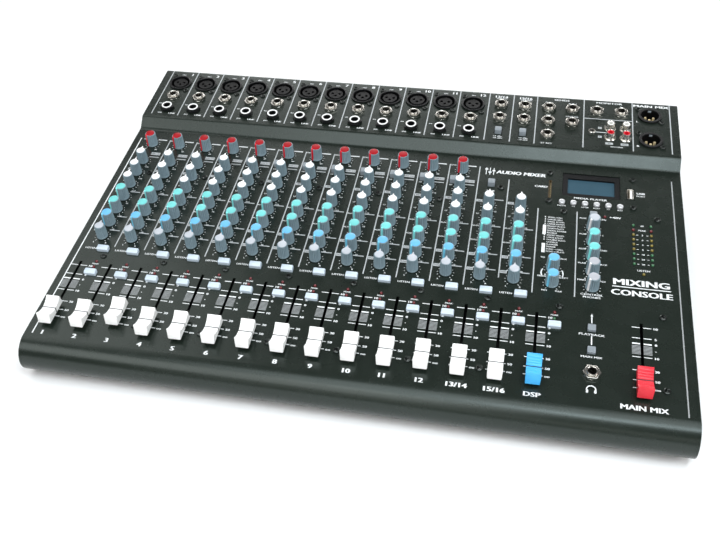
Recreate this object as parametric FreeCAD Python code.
import FreeCAD, Part
import math
import os

# Table-top mixing console with twelve mono strips, two stereo strips and a master section.
# X runs along the front edge, Y runs from the front to the rear, Z is up.
# The origin is under the centre of the bounding box, on the plane that the feet stand on.
# Three frames are used: the world, the sloping control panel and the raised connector deck.

# Driving dimensions, in millimetres and degrees.
WIDTH = 526.0
CHEEK = 2.0
SHEET = 1.2
PITCH = 28.0
PANEL_TILT = 7.5
DECK_TILT = 1.0
NOSE_RADIUS = 17.0
NOSE_CENTRE_Y = -87.0
PANEL_BACK = 190.0
DECK_FRONT = 200.5
DECK_RISE = 8.4
DECK_LENGTH = 82.0
BEND_RADII = (5.0, 4.0, 3.0)
DECK_ZERO = 4.6
BASE_GAP = 4.0
TRAY_GAP = 0.1
REAR_LIP = 12.0
REAR_PROUD = 3.1
UNDER_LIP = 14.0
FIRST_STRIP_X = -253.5

# Control rows, as distances up the panel from the tops of the fader slots.
KNOB_ROW_0 = 32.5
KNOB_ROW_STEP = 17.8
GAIN_ROW = 166.5
LOW_CUT_ROW = 151.0
LISTEN_ROW = 16.8
MUTE_ROW = -12.4
LED_ROWS = (1.4, -5.2)

# Places across one strip, from its left-hand line.
KNOB_ACROSS = 12.2
FADER_ACROSS = 5.2
BUTTON_ACROSS = 19.1
SWITCH_ACROSS = 5.4
LED_ACROSS = 19.0

# Places across the whole panel, from the left-hand line of the first strip.
DSP_KNOB_X = 407.2
MASTER_KNOB_X = 439.4
MAIN_FADER_X = 477.3
PLAYER_CENTRE_X = 437.5
METER_X = (473.5, 488.2)
METER_CENTRE_X = 480.8

# Knobs.
KNOB_RADIUS = 5.7
KNOB_TOP_RADIUS = 5.0
KNOB_HEIGHT = 13.2
KNOB_CAP = 0.6
KNOB_CAP_RADIUS = 4.2
KNOB_NIB = [(-2.0, 3.4), (2.0, 3.4), (0.5, 6.8), (-0.5, 6.8)]
KNOB_GAP = 0.5
SHAFT_RADIUS = 3.0
SHAFT_FIT = 0.05
KNOB_REST_ANGLE = -140.0

# Faders.
FADER_TRAVEL = 60.0
FADER_END = -63.0
FADER_LIFT = 0.3
FADER_LIFTS = {2: 7.0, 11: 1.6}
CAP_WIDTH = 10.8
CAP_LENGTH = 24.6
CAP_TOP_LENGTH = 20.8
CAP_BOTTOM = 3.2
CAP_TOP = 12.8
CAP_DISH = 4.0
SLOT_WIDTH = 2.4
SLOT_LENGTH = 66.5

# Push buttons.
WIDE_BUTTON = (10.4, 5.4, 3.6)
SQUARE_SWITCH = (6.4, 6.4, 4.3)
LOW_SWITCH = (6.4, 6.4, 1.8)
PLAYER_BUTTON_RADIUS = 2.8
PLAYER_BUTTON_HEIGHT = 2.0
PLAYER_STEP = 10.1
STEM = 3.0
BUTTON_SINK = 2.2

# Status lamps.
LED_RADIUS = 1.4
LED_TOP = 1.3

# Boards and the ribbon cables between them.
BOARD = 1.6
CONTROL_BOARD_TOP = -14.4
CONTROL_BOARD_BACK = 180.0
CONTROL_BOARD_LENGTH = 264.0
INPUT_BOARD_TOP = -22.0
RIBBON_HEADER = (20.0, 7.0, 6.0)
RIBBON_START = 170.0
RIBBON_END = 217.0
RIBBON_END_TOP = -24.3
RIBBON_WIDTH = 18.0

# Connectors on the deck.
XLR_FLANGE_RADIUS = 11.7
XLR_BODY_RADIUS = 11.0
JACK_THREAD_RADIUS = 4.6
JACK_BORE_RADIUS = 3.4
JACK_PROUD = 4.5
NUT_FLATS = 11.8

# Mains inlet and rocker switch on the rear wall.
INLET_X = 190.0
ROCKER_X = 160.0
INLET_Z = 44.0
ROCKER_AXIS = 1.0

X_AXIS = FreeCAD.Vector(1, 0, 0)
Z_AXIS = FreeCAD.Vector(0, 0, 1)
COS = math.cos(math.radians(PANEL_TILT))
SIN = math.sin(math.radians(PANEL_TILT))

# The front of the nose and the tip of the rocker switch lie at equal distances from the origin.
DECK_BACK_Y = DECK_FRONT + DECK_LENGTH * math.cos(math.radians(DECK_TILT))
DECK_BACK_Z = DECK_RISE + DECK_LENGTH * math.sin(math.radians(DECK_TILT))
NOSE_REACH = NOSE_CENTRE_Y * COS + NOSE_RADIUS * SIN - NOSE_RADIUS
REAR_REACH = DECK_BACK_Y * COS - DECK_BACK_Z * SIN
PANEL_ORIGIN_Y = -(NOSE_REACH + REAR_REACH + REAR_PROUD) / 2
PANEL_ORIGIN_Z = BASE_GAP + NOSE_RADIUS - NOSE_CENTRE_Y * SIN + NOSE_RADIUS * COS
REAR_Y = PANEL_ORIGIN_Y + REAR_REACH

PANEL = FreeCAD.Placement(
    FreeCAD.Vector(0, PANEL_ORIGIN_Y, PANEL_ORIGIN_Z),
    FreeCAD.Rotation(X_AXIS, PANEL_TILT),
)
DECK = PANEL.multiply(
    FreeCAD.Placement(FreeCAD.Vector(0, DECK_FRONT, DECK_RISE), FreeCAD.Rotation(X_AXIS, DECK_TILT))
)


# Small helpers.

def strip_x(index, across=0.0):
    return FIRST_STRIP_X + index * PITCH + across


def knob_row(row):
    return KNOB_ROW_0 + row * KNOB_ROW_STEP


def deck_y(row):
    return DECK_ZERO + row


def box(centre_x, centre_y, low, width, depth, high):
    corner = FreeCAD.Vector(centre_x - width / 2, centre_y - depth / 2, low)
    return Part.makeBox(width, depth, high - low, corner)


def rod(x, y, low, high, radius):
    return Part.makeCylinder(radius, high - low, FreeCAD.Vector(x, y, low), Z_AXIS)


def hexagon(x, y, low, high, flats):
    corner = flats / math.sqrt(3)
    points = []
    for step in range(7):
        angle = math.radians(60 * step)
        points.append(FreeCAD.Vector(x + corner * math.cos(angle), y + corner * math.sin(angle), low))
    return Part.Face(Part.makePolygon(points)).extrude(FreeCAD.Vector(0, 0, high - low))


def prism_x(points, centre_x, width):
    corners = [FreeCAD.Vector(centre_x - width / 2, y, z) for y, z in points]
    corners.append(corners[0])
    return Part.Face(Part.makePolygon(corners)).extrude(FreeCAD.Vector(width, 0, 0))


def prism_z(points, low, high):
    corners = [FreeCAD.Vector(x, y, low) for x, y in points]
    corners.append(corners[0])
    return Part.Face(Part.makePolygon(corners)).extrude(FreeCAD.Vector(0, 0, high - low))


def group(shapes, frame=None):
    compound = Part.makeCompound(shapes)
    if frame is not None:
        compound.Placement = frame.multiply(compound.Placement)
    return compound


def export(name, shape):
    shape.exportStep("parts/" + name + ".step")


# Where everything stands on the panel and the deck.

def knob_places():
    places = []
    for index in range(12):
        x = strip_x(index, KNOB_ACROSS)
        places.append(("gain", index, x, GAIN_ROW))
        for row in (4, 5, 6):
            places.append(("tone", index, x, knob_row(row)))
        for row in (1, 2, 3):
            places.append(("send", index, x, knob_row(row)))
        places.append(("pan", index, x, knob_row(0)))
    for index in (12, 13):
        x = strip_x(index, KNOB_ACROSS)
        for row in (4, 5):
            places.append(("tone", index, x, knob_row(row)))
        for row in (1, 2, 3):
            places.append(("send", index, x, knob_row(row)))
        places.append(("pan", index, x, knob_row(0)))
    for row in (0, 1):
        places.append(("effect", row, FIRST_STRIP_X + DSP_KNOB_X, knob_row(row)))
    for row in range(5):
        places.append(("master", row, FIRST_STRIP_X + MASTER_KNOB_X, knob_row(row)))
    return places


def fader_places():
    places = [(index, strip_x(index, FADER_ACROSS)) for index in range(15)]
    places.append((15, FIRST_STRIP_X + MAIN_FADER_X))
    return places


def fader_rest(index):
    return FADER_END + FADER_LIFTS.get(index, FADER_LIFT)


def listen_places():
    return [(strip_x(index, BUTTON_ACROSS), LISTEN_ROW) for index in range(14)]


def mute_places():
    return [(strip_x(index, BUTTON_ACROSS), MUTE_ROW) for index in range(15)]


def low_cut_places():
    return [(strip_x(index, SWITCH_ACROSS), LOW_CUT_ROW) for index in range(12)]


def tall_switch_places():
    return [(strip_x(12, 12.3), LOW_CUT_ROW), (FIRST_STRIP_X + MASTER_KNOB_X + 0.2, 118.7)]


def route_switch_places():
    return [(FIRST_STRIP_X + MASTER_KNOB_X + 0.4, -10.9), (FIRST_STRIP_X + MASTER_KNOB_X + 0.4, -33.4)]


def gain_switch_places():
    return [(strip_x(12, 12.4), deck_y(13.7)), (strip_x(13, 7.5), deck_y(13.7))]


def player_places():
    first = FIRST_STRIP_X + PLAYER_CENTRE_X - 2.5 * PLAYER_STEP
    return [(first + step * PLAYER_STEP, 135.0) for step in range(6)]


def led_places():
    places = [(strip_x(index, LED_ACROSS), row) for index in range(15) for row in LED_ROWS]
    places.append((FIRST_STRIP_X + 449.7, 120.0))
    places.append((FIRST_STRIP_X + METER_CENTRE_X, 54.0))
    for x in METER_X:
        for step in range(9):
            places.append((FIRST_STRIP_X + x, 65.5 + 5.9 * step))
    return places


def screw_places():
    front = [(strip_x(index, 22.6), row) for index in (0, 2, 4, 6, 8, 10) for row in (8.6, -64.0)]
    middle = [(strip_x(12, 21.4), row) for row in (8.6, 146.8, -64.0)]
    among = [(strip_x(index, 23.8), 123.6) for index in (0, 2, 4, 6, 8, 10)]
    master = [(FIRST_STRIP_X + 414.4, row) for row in (122.0, 8.0)]
    player = [(FIRST_STRIP_X + x, row) for x in (400.6, 474.0) for row in (135.0, 173.4)]
    right = [(FIRST_STRIP_X + 494.0, row) for row in (122.0, 8.0, -64.0)]
    return front + middle + among + master + player + right


def input_places():
    return [(strip_x(index, 12.5), deck_y(54.0)) for index in range(12)]


def output_places():
    return [(FIRST_STRIP_X + 490.2, deck_y(55.0)), (FIRST_STRIP_X + 490.2, deck_y(17.7))]


def line_jack_places():
    places = [(strip_x(index, 12.1), deck_y(30.8)) for index in range(12)]
    for x in (strip_x(12, 12.2), strip_x(13, 7.5)):
        places.extend([(x, deck_y(56.0)), (x, deck_y(35.0))])
    for row in (56.0, 35.0, 14.0):
        places.append((FIRST_STRIP_X + 394.8, deck_y(row)))
    for row in (56.0, 35.0):
        places.append((FIRST_STRIP_X + 417.2, deck_y(row)))
    for x in (440.4, 463.4):
        places.append((FIRST_STRIP_X + x, deck_y(56.0)))
    return places


def insert_places():
    return [(strip_x(index, 12.3), deck_y(10.9)) for index in range(12)]


def phono_places():
    return [(FIRST_STRIP_X + x, deck_y(row)) for x in (452.8, 467.3) for row in (31.5, 17.9)]


PHONES_PLACE = (FIRST_STRIP_X + 440.2, -56.0)
MINI_JACK_PLACE = (FIRST_STRIP_X + 436.2, deck_y(25.0))
DISPLAY_PLACE = (FIRST_STRIP_X + 437.6, 160.3)
USB_PLACE = (FIRST_STRIP_X + 471.8, 153.6)
CARD_PLACE = (FIRST_STRIP_X + 401.2, 151.5)
XLR_SCREWS = ((-9.1, 12.0), (9.1, -12.0))
OUTPUT_SCREWS = ((-10.4, 9.4), (10.4, -9.4))


# Casing.

def world_point(y, z):
    point = PANEL.multVec(FreeCAD.Vector(0, y, z))
    return FreeCAD.Vector(0, point.y, point.z)


def rounded_corner(before, corner, after, radius):
    # The two ends and the middle of the arc that rounds one bend of the sheet.
    back = (before - corner).normalize()
    ahead = (after - corner).normalize()
    half = back.getAngle(ahead) / 2
    reach = radius / math.tan(half)
    towards = (back + ahead).normalize()
    middle = corner + towards * (radius / math.sin(half) - radius)
    return corner + back * reach, middle, corner + ahead * reach


def casing_face():
    nose = world_point(NOSE_CENTRE_Y, -NOSE_RADIUS)
    nose_top = world_point(NOSE_CENTRE_Y, 0)
    nose_front = FreeCAD.Vector(0, nose.y - NOSE_RADIUS, nose.z)
    nose_bottom = FreeCAD.Vector(0, nose.y, nose.z - NOSE_RADIUS)
    panel_back = world_point(PANEL_BACK, 0)
    deck_front = world_point(DECK_FRONT, DECK_RISE)
    deck_back = world_point(DECK_BACK_Y, DECK_BACK_Z)
    rear_bottom = FreeCAD.Vector(0, deck_back.y, nose_bottom.z)
    bends = [nose_top, panel_back, deck_front, deck_back, rear_bottom, nose_bottom]
    edges = []
    start = nose_top
    for step in range(1, 4):
        ends = rounded_corner(bends[step - 1], bends[step], bends[step + 1], BEND_RADII[step - 1])
        edges.append(Part.makeLine(start, ends[0]))
        edges.append(Part.Arc(*ends).toShape())
        start = ends[2]
    edges.append(Part.makeLine(start, rear_bottom))
    edges.append(Part.makeLine(rear_bottom, nose_bottom))
    edges.append(Part.Arc(nose_bottom, nose_front, nose_top).toShape())
    return Part.Face(Part.Wire(edges))


def casing_prism(inset, left, right):
    face = casing_face()
    if inset > 0:
        face = face.makeOffset2D(-inset, 2)
    prism = face.extrude(FreeCAD.Vector(right - left, 0, 0))
    prism.translate(FreeCAD.Vector(left, 0, 0))
    return prism


def panel_holes():
    tools = []
    for _, _, x, y in knob_places():
        tools.append(rod(x, y, -4, 3, SHAFT_RADIUS + 0.6))
    for _, x in fader_places():
        tools.append(box(x, -SLOT_LENGTH / 2, -4, SLOT_WIDTH, SLOT_LENGTH, 3))
    for places, size in (
        (listen_places() + mute_places(), WIDE_BUTTON),
        (low_cut_places() + tall_switch_places(), SQUARE_SWITCH),
        (route_switch_places(), LOW_SWITCH),
    ):
        for x, y in places:
            tools.append(box(x, y, -4, size[0] + 1.0, size[1] + 1.0, 3))
    for x, y in player_places():
        tools.append(rod(x, y, -4, 3, PLAYER_BUTTON_RADIUS + 0.4))
    for x, y in led_places():
        tools.append(rod(x, y, -4, 3, LED_RADIUS + 0.1))
    tools.append(rod(PHONES_PLACE[0], PHONES_PLACE[1], -4, 3, JACK_THREAD_RADIUS + 0.3))
    tools.append(box(DISPLAY_PLACE[0], DISPLAY_PLACE[1], -4, 51.0, 31.4, 3))
    tools.append(box(USB_PLACE[0], USB_PLACE[1], -4, 6.8, 15.4, 3))
    tools.append(box(CARD_PLACE[0], CARD_PLACE[1], -4, 2.8, 24.6, 3))
    return group(tools, PANEL)


def deck_holes():
    tools = []
    for x, y in input_places() + output_places():
        tools.append(rod(x, y, -4, 3, XLR_BODY_RADIUS + 0.2))
    for x, y in line_jack_places():
        tools.append(rod(x, y, -4, 3, JACK_THREAD_RADIUS + 0.3))
    for x, y in insert_places():
        tools.append(rod(x, y, -4, 3, 6.0))
    for x, y in phono_places():
        tools.append(rod(x, y, -4, 3, 4.9))
    for x, y in gain_switch_places():
        tools.append(box(x, y, -4, SQUARE_SWITCH[0] + 1.0, SQUARE_SWITCH[1] + 1.0, 3))
    tools.append(rod(MINI_JACK_PLACE[0], MINI_JACK_PLACE[1], -4, 3, 3.2))
    for places, screws in ((input_places(), XLR_SCREWS), (output_places(), OUTPUT_SCREWS)):
        for x, y in places:
            tools.extend([rod(x + dx, y + dy, -4, 3, 1.6) for dx, dy in screws])
    return group(tools, DECK)


def top_panel():
    half = WIDTH / 2 - CHEEK - 0.1
    skin = casing_prism(0, -half, half)
    skin = skin.cut(casing_prism(SHEET, -half - 1, half + 1))
    under_end = world_point(NOSE_CENTRE_Y, -NOSE_RADIUS).y + UNDER_LIP
    lip_end = world_point(DECK_BACK_Y, DECK_BACK_Z).z - REAR_LIP
    bottom_length = REAR_Y + 1 - under_end
    bottom = box(0, under_end + bottom_length / 2, BASE_GAP - 1, WIDTH, bottom_length, BASE_GAP + 2)
    rear = box(0, REAR_Y, BASE_GAP - 1, WIDTH, 4, lip_end)
    skin = skin.cut(bottom.fuse(rear))
    return skin.cut(group([panel_holes(), deck_holes()]))


def base_tray():
    front = world_point(NOSE_CENTRE_Y, -NOSE_RADIUS).y
    rear = REAR_Y - SHEET - TRAY_GAP
    width = WIDTH - 2 * CHEEK - 3.0
    low = BASE_GAP + SHEET + TRAY_GAP
    top = world_point(DECK_BACK_Y, DECK_BACK_Z).z - 6.0
    floor = box(0, (front + rear) / 2, low, width, rear - front, low + SHEET)
    wall = box(0, rear - SHEET / 2, low, width, SHEET, top)
    sides = []
    for side in (-1, 1):
        x = side * (width / 2 - SHEET / 2)
        sides.append(box(x, (front + rear) / 2, low, SHEET, rear - front, low + 10))
    tray = floor.fuse([wall] + sides)
    holes = [
        box(INLET_X, rear, INLET_Z - 10.2, 27.6, 6, INLET_Z + 10.2),
        box(ROCKER_X, rear, INLET_Z - 9.7, 13.4, 6, INLET_Z + 9.7),
    ]
    for step in range(14):
        holes.append(box(-200 + 12 * step, rear, 24, 3, 6, 54))
    return tray.cut(group(holes))


def end_cheek(side):
    inner = side * (WIDTH / 2 - CHEEK)
    outer = side * WIDTH / 2
    return casing_prism(0, min(inner, outer), max(inner, outer))


def foot_places():
    front = world_point(NOSE_CENTRE_Y, -NOSE_RADIUS).y + UNDER_LIP + 16
    return [(x, y) for x in (-225, 225) for y in (front, REAR_Y - 32)]


def rubber_feet():
    top = BASE_GAP + SHEET + TRAY_GAP
    feet = []
    for x, y in foot_places():
        foot = Part.makeCone(8.0, 9.0, top, FreeCAD.Vector(x, y, 0), Z_AXIS)
        feet.append(foot.cut(rod(x, y, -1, 2.4, 3.4)))
        feet.append(rod(x, y, 0.8, 2.4, 3.2))
    return group(feet)


def panel_screws():
    screws = []
    for x, y in screw_places():
        head = rod(x, y, 0, 1.3, 2.8)
        head = head.makeFillet(0.6, head.Edges[:1])
        recess = box(x, y, 0.5, 3.2, 0.7, 2).fuse(box(x, y, 0.5, 0.7, 3.2, 2))
        screws.append(head.cut(recess))
    return group(screws, PANEL)


# Knobs, faders and buttons.

def knob(x, y, angle, pointer):
    low = KNOB_GAP
    high = low + KNOB_HEIGHT
    base = FreeCAD.Vector(0, 0, low)
    body = Part.makeCone(KNOB_RADIUS, KNOB_TOP_RADIUS, KNOB_HEIGHT, base, Z_AXIS)
    body = body.cut(rod(0, 0, low - 1, high - 3, SHAFT_RADIUS))
    cap = rod(0, 0, high, high + KNOB_CAP, KNOB_CAP_RADIUS)
    if pointer:
        nib = prism_z(KNOB_NIB, high, high + KNOB_CAP)
        cap = cap.fuse(nib)
    shaft = rod(0, 0, CONTROL_BOARD_TOP + 4.0, high - 3, SHAFT_RADIUS)
    turned = group([body, cap, shaft])
    turned.rotate(FreeCAD.Vector(0, 0, 0), Z_AXIS, -angle)
    turned.translate(FreeCAD.Vector(x, y, 0))
    return turned


def knob_name(kind, index, y):
    if kind in ("gain", "pan"):
        return kind + "_knob"
    if kind in ("effect", "master"):
        return kind + "_knob_" + str(index + 1)
    row = round((y - KNOB_ROW_0) / KNOB_ROW_STEP)
    return kind + "_knob_" + str(row)


def export_knobs():
    groups = {"index": [], "pointer": []}
    for kind, index, x, y in knob_places():
        pointer = kind in ("tone", "pan")
        angle = 0.0 if pointer else KNOB_REST_ANGLE
        shape = knob(x, y, angle, pointer)
        alone = kind in ("effect", "master") or index == 0
        if alone:
            export(knob_name(kind, index, y), group([shape], PANEL))
        else:
            groups["pointer" if pointer else "index"].append(shape)
    for kind, shapes in groups.items():
        export("other_" + kind + "_knobs", group(shapes, PANEL))


def fader_cap():
    half_base = CAP_LENGTH / 2
    half_top = CAP_TOP_LENGTH / 2
    low_left = FreeCAD.Vector(-CAP_WIDTH / 2, -half_base, CAP_BOTTOM)
    low_right = FreeCAD.Vector(-CAP_WIDTH / 2, half_base, CAP_BOTTOM)
    top_back = FreeCAD.Vector(-CAP_WIDTH / 2, half_top, CAP_TOP)
    top_front = FreeCAD.Vector(-CAP_WIDTH / 2, -half_top, CAP_TOP)
    dish = FreeCAD.Vector(-CAP_WIDTH / 2, 0, CAP_TOP - CAP_DISH)
    edges = [
        Part.makeLine(low_left, low_right),
        Part.makeLine(low_right, top_back),
        Part.Arc(top_back, dish, top_front).toShape(),
        Part.makeLine(top_front, low_left),
    ]
    return Part.Face(Part.Wire(edges)).extrude(FreeCAD.Vector(CAP_WIDTH, 0, 0))


def fader(index, x):
    lever = box(0, 0, -9.0, 1.2, 4.0, CAP_BOTTOM + 2.5)
    socket = box(0, 0, CAP_BOTTOM - 1, 1.2, 4.0, CAP_BOTTOM + 2.5)
    both = group([fader_cap().cut(socket), lever])
    both.translate(FreeCAD.Vector(x, fader_rest(index), 0))
    return group([both], PANEL)


def fader_name(index):
    if index < 14:
        return "fader_strip_" + str(index + 1)
    return "fader_effects" if index == 14 else "fader_main"


def button(x, y, size, slope=0.0):
    width, depth, height = size
    front = -depth / 2
    points = [(front, -BUTTON_SINK), (depth / 2, -BUTTON_SINK), (depth / 2, height),
              (front + slope, height), (front, height - slope)]
    cap = prism_x(points, 0, width) if slope else box(0, 0, -BUTTON_SINK, width, depth, height)
    shape = cap.fuse(box(0, 0, CONTROL_BOARD_TOP + 5.0, STEM, STEM, -BUTTON_SINK))
    shape.translate(FreeCAD.Vector(x, y, 0))
    return shape


def buttons(places, size, slope=0.0):
    return [button(x, y, size, slope) for x, y in places]


def player_buttons():
    shapes = []
    for x, y in player_places():
        cap = rod(x, y, -BUTTON_SINK, PLAYER_BUTTON_HEIGHT, PLAYER_BUTTON_RADIUS)
        cap = cap.makeFillet(0.8, cap.Edges[:1])
        shapes.append(cap.fuse(rod(x, y, CONTROL_BOARD_TOP + 5.0, -BUTTON_SINK, 1.2)))
    return group(shapes, PANEL)


# Boards and what stands on them.

def control_board():
    low = CONTROL_BOARD_TOP - BOARD
    middle = CONTROL_BOARD_BACK - CONTROL_BOARD_LENGTH / 2
    shapes = [box(0, middle, low, WIDTH - 16, CONTROL_BOARD_LENGTH, CONTROL_BOARD_TOP)]
    width, depth, height = RIBBON_HEADER
    front = RIBBON_START - depth / 2
    ribbon = [
        (front, low - height),
        (RIBBON_END, RIBBON_END_TOP),
        (RIBBON_END, RIBBON_END_TOP - 0.9),
        (front, low - height - 1.0),
    ]
    for x in ribbon_places():
        shapes.append(box(x, RIBBON_START, low - height, width, depth, low))
        shapes.append(prism_x(ribbon, x, RIBBON_WIDTH))
    return group(shapes, PANEL)


def input_board():
    low = INPUT_BOARD_TOP - BOARD
    shapes = [box(0, DECK_LENGTH / 2 - 4, low, WIDTH - 16, DECK_LENGTH - 14, INPUT_BOARD_TOP)]
    width, depth, height = RIBBON_HEADER
    for x in ribbon_places():
        shapes.append(box(x, 12, low - height - 2.5, width, depth, low))
    return group(shapes, DECK)


def ribbon_places():
    return [-225 + 90 * step for step in range(6)]


def rotary_pots():
    blocks = []
    for _, _, x, y in knob_places():
        block = box(x, y, CONTROL_BOARD_TOP, 9.8, 11.0, -7.5)
        collar = rod(x, y, -7.5, -2.5, 4.0)
        block = block.fuse(collar)
        blocks.append(block.cut(rod(x, y, CONTROL_BOARD_TOP + 3.5, 0, SHAFT_RADIUS + SHAFT_FIT)))
    return group(blocks, PANEL)


def slide_pots():
    blocks = []
    middle = FADER_END + FADER_TRAVEL / 2
    for _, x in fader_places():
        block = box(x, middle, CONTROL_BOARD_TOP, 9.0, FADER_TRAVEL + 16, -2.2)
        slot = box(x, middle, -10.5, 3.0, FADER_TRAVEL + 6, 0)
        blocks.append(block.cut(slot))
    return group(blocks, PANEL)


def push_switches():
    blocks = []
    square = listen_places() + mute_places() + low_cut_places()
    square += tall_switch_places() + route_switch_places()
    for x, y in square:
        block = box(x, y, CONTROL_BOARD_TOP, 6.6, 6.6, -7.0)
        blocks.append(block.cut(box(x, y, CONTROL_BOARD_TOP + 2.0, STEM + 0.6, STEM + 0.6, 0)))
    for x, y in player_places():
        block = box(x, y, CONTROL_BOARD_TOP, 6.0, 6.0, -7.0)
        blocks.append(block.cut(rod(x, y, CONTROL_BOARD_TOP + 2.0, 0, 1.5)))
    return group(blocks, PANEL)


def power_supply():
    floor = BASE_GAP + 2 * SHEET + TRAY_GAP
    x = 150.0
    y = REAR_Y - 62.0
    board_low = floor + 6.0
    board_top = board_low + BOARD
    parts = [box(x, y, board_low, 150, 74, board_top)]
    for dx in (-68, 68):
        for dy in (-30, 30):
            parts.append(rod(x + dx, y + dy, floor, board_low, 3.0))
    parts.append(box(x + 36, y, board_top, 30, 26, board_top + 24))
    parts.append(box(x + 36, y, board_top + 24, 22, 34, board_top + 28))
    for step in range(3):
        parts.append(rod(x - 58 + 20 * step, y + 22, board_top, board_top + 26, 7.5))
    sink = box(x - 20, y - 26, board_top, 70, 3, board_top + 26)
    fins = [box(x - 50 + 10 * step, y - 20, board_top, 1.6, 9, board_top + 26) for step in range(7)]
    parts.append(sink.fuse(fins))
    return group(parts)


# Connectors.

def xlr_screws(x, y, places):
    screws = []
    for dx, dy in places:
        head = rod(x + dx, y + dy, 0, 1.0, 2.6).fuse(rod(x + dx, y + dy, -6, 0, 1.4))
        screws.append(head.cut(box(x + dx, y + dy, 0.4, 3.0, 0.6, 2)))
    return screws


def xlr_input(x, y):
    shell = rod(x, y, 0, 1.5, XLR_FLANGE_RADIUS).fuse(rod(x, y, INPUT_BOARD_TOP, 0, XLR_BODY_RADIUS))
    for dx, dy in XLR_SCREWS:
        shell = shell.cut(rod(x + dx, y + dy, -1, 3, 2.9))
    shell = shell.cut(rod(x, y, -15, 3, 9.6))
    insert = rod(x, y, -15, 0.6, 7.3)
    for dx, dy in ((-3.6, 0.6), (3.6, 0.6), (0, -2.6)):
        insert = insert.cut(rod(x + dx, y + dy, -12, 3, 1.3))
    return [shell, insert] + xlr_screws(x, y, XLR_SCREWS)


def xlr_output(x, y):
    shell = rod(x, y, 0, 1.5, XLR_FLANGE_RADIUS - 0.6).fuse(rod(x, y, INPUT_BOARD_TOP, 0, XLR_BODY_RADIUS))
    shell = shell.cut(rod(x, y, -14, 3, 8.4))
    pins = [rod(x + dx, y + dy, -14, -2.0, 1.2) for dx, dy in ((-3.8, 0.8), (3.8, 0.8), (0, -2.4))]
    return [shell] + pins + xlr_screws(x, y, OUTPUT_SCREWS)


def line_jack(x, y, depth):
    body = box(x, y, depth, 12.0, 14.0, -1.4).fuse(rod(x, y, -1.4, JACK_PROUD, JACK_THREAD_RADIUS))
    body = body.cut(rod(x, y, depth + 2, JACK_PROUD + 1, JACK_BORE_RADIUS))
    washer = rod(x, y, 0, 0.5, 6.7).cut(rod(x, y, -1, 1, JACK_THREAD_RADIUS))
    nut = hexagon(x, y, 0.5, 2.9, NUT_FLATS).cut(rod(x, y, 0, 4, JACK_THREAD_RADIUS))
    return [body, washer, nut]


def line_jacks():
    on_deck = []
    for x, y in line_jack_places():
        on_deck.extend(line_jack(x, y, INPUT_BOARD_TOP))
    phones = line_jack(PHONES_PLACE[0], PHONES_PLACE[1], CONTROL_BOARD_TOP)
    return group([group(on_deck, DECK), group(phones, PANEL)])


def insert_jack(x, y):
    body = rod(x, y, 0, 3.8, 5.8).fuse(box(x, y, INPUT_BOARD_TOP, 10.5, 12.0, -1.4))
    body = body.fuse(rod(x, y, -1.4, 0, 5.4)).cut(rod(x, y, INPUT_BOARD_TOP + 2, 5, JACK_BORE_RADIUS))
    ring = rod(x, y, 3.8, 4.5, 5.2).cut(rod(x, y, 3, 5, 3.7))
    return [body, ring]


def phono_socket(x, y):
    barrel = rod(x, y, INPUT_BOARD_TOP, 7.0, 4.15).cut(rod(x, y, -6, 8, 3.6))
    lining = rod(x, y, -6, 6.6, 3.6).cut(rod(x, y, -5, 8, 1.7))
    flange = rod(x, y, 0, 0.8, 5.6).cut(rod(x, y, -1, 2, 4.15))
    return [barrel, lining, flange]


def phono_sockets():
    shapes = []
    for x, y in phono_places():
        shapes.extend(phono_socket(x, y))
    x, y = MINI_JACK_PLACE
    collar = rod(x, y, 0, 1.6, 3.4).fuse(rod(x, y, INPUT_BOARD_TOP, 0, 2.9))
    shapes.append(collar.cut(rod(x, y, -14, 2, 1.8)))
    return group(shapes, DECK)


def display_window():
    x, y = DISPLAY_PLACE
    bezel = box(x, y, -3.2, 50.6, 31.0, -0.5)
    bezel = bezel.cut(box(x, y - 0.6, -4, 41.4, 20.8, 1))
    glass = box(x, y - 0.6, -3.0, 41.2, 20.6, -1.4)
    module = box(x, y, -9.0, 58.0, 38.0, -3.3)
    return group([bezel, glass, module], PANEL)


def media_sockets():
    x, y = USB_PLACE
    shell = box(x, y, -12.0, 5.8, 13.2, 0.3).cut(box(x, y, -11.5, 5.0, 12.4, 1))
    tongue = box(x + 0.9, y, -11.5, 1.8, 11.2, -1.0)
    card_x, card_y = CARD_PLACE
    card = box(card_x, card_y, -13.0, 4.6, 28.0, -1.3).fuse(box(card_x, card_y, -1.3, 2.6, 24.4, 0.2))
    card = card.cut(box(card_x, card_y, -12.0, 2.1, 23.8, 1))
    return group([shell, tongue, card], PANEL)


def status_leds():
    lamps = []
    for x, y in led_places():
        lamp = rod(x, y, -5.0, LED_TOP, LED_RADIUS)
        lamps.append(lamp.makeFillet(0.5, lamp.Edges[:1]))
    return group(lamps, PANEL)


# Rear wall: mains inlet and rocker switch.

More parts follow.
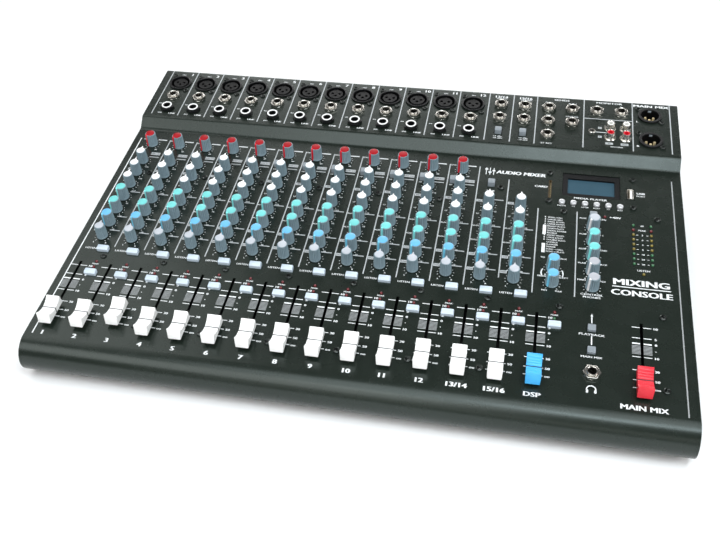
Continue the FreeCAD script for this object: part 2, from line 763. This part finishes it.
def mains_inlet():
    wall = REAR_Y - SHEET - TRAY_GAP
    flange = box(INLET_X, wall + 1.0, INLET_Z - 13, 40, 2.0, INLET_Z + 13)
    body = box(INLET_X, wall - 8, INLET_Z - 10, 27.2, 20, INLET_Z + 10)
    recess = box(INLET_X, wall - 5, INLET_Z - 7.8, 23.6, 20, INLET_Z + 7.8)
    shell = flange.fuse(body).cut(recess)
    pins = []
    for dx, dz in ((-7, -2), (0, 2), (7, -2)):
        pins.append(box(INLET_X + dx, wall - 8, INLET_Z + dz - 2, 2.0, 14, INLET_Z + dz + 2))
    screws = []
    for side in (-1, 1):
        place = FreeCAD.Vector(INLET_X + side * 17, wall + 2.0, INLET_Z)
        screws.append(Part.makeCylinder(2.4, 1.0, place, FreeCAD.Vector(0, 1, 0)))
    rocker_flange = box(ROCKER_X, wall + 0.8, INLET_Z - 11.5, 15.4, 1.6, INLET_Z + 11.5)
    rocker_body = box(ROCKER_X, wall - 7, INLET_Z - 9.5, 13.0, 14, INLET_Z + 9.5)
    rocker_opening = box(ROCKER_X, wall - 4, INLET_Z - 8.3, 10.4, 16, INLET_Z + 8.3)
    frame = rocker_flange.fuse(rocker_body).cut(rocker_opening)
    pin_low = FreeCAD.Vector(ROCKER_X - 6, wall - ROCKER_AXIS, INLET_Z)
    frame = frame.cut(Part.makeCylinder(1.05, 12, pin_low, X_AXIS))
    return group([shell] + pins + screws + [frame])


def power_rocker():
    wall = REAR_Y - SHEET - TRAY_GAP
    y = wall - ROCKER_AXIS
    outline = [(-4, -3), (-4, 3), (1.6, 7.4), (3.6, 7.0), (1.8, 0), (5.4, -6.6), (3.4, -7.4)]
    rocker = prism_x([(y + out, INLET_Z + up) for out, up in outline], ROCKER_X, 9.6)
    pin = Part.makeCylinder(1.0, 11.6, FreeCAD.Vector(ROCKER_X - 5.8, y, INLET_Z), X_AXIS)
    return rocker.fuse(pin)


def main():
    os.makedirs("parts", exist_ok=True)
    export("top_panel", top_panel())
    export("base_tray", base_tray())
    export("left_cheek", end_cheek(-1))
    export("right_cheek", end_cheek(1))
    export("rubber_feet", rubber_feet())
    export("panel_screws", panel_screws())
    export("control_board", control_board())
    export("input_board", input_board())
    export("rotary_pots", rotary_pots())
    export("slide_pots", slide_pots())
    export("push_switches", push_switches())
    export("power_supply", power_supply())
    export("xlr_inputs", group([s for x, y in input_places() for s in xlr_input(x, y)], DECK))
    export("xlr_outputs", group([s for x, y in output_places() for s in xlr_output(x, y)], DECK))
    export("line_jacks", line_jacks())
    export("insert_jacks", group([s for x, y in insert_places() for s in insert_jack(x, y)], DECK))
    export("phono_sockets", phono_sockets())
    export("display_window", display_window())
    export("media_sockets", media_sockets())
    export("status_leds", status_leds())
    export("mains_inlet", mains_inlet())
    export("power_rocker", power_rocker())
    export("listen_buttons", group(buttons(listen_places(), WIDE_BUTTON, 1.2), PANEL))
    export("mute_buttons", group(buttons(mute_places(), WIDE_BUTTON, 1.2), PANEL))
    export("low_cut_buttons", group(buttons(low_cut_places(), SQUARE_SWITCH), PANEL))
    tall = group(buttons(tall_switch_places(), SQUARE_SWITCH), PANEL)
    low = group(buttons(route_switch_places(), LOW_SWITCH), PANEL)
    rear = group(buttons(gain_switch_places(), SQUARE_SWITCH), DECK)
    export("selector_buttons", group([tall, low, rear]))
    export("player_buttons", player_buttons())
    for index, x in fader_places():
        export(fader_name(index), fader(index, x))
    export_knobs()


main()
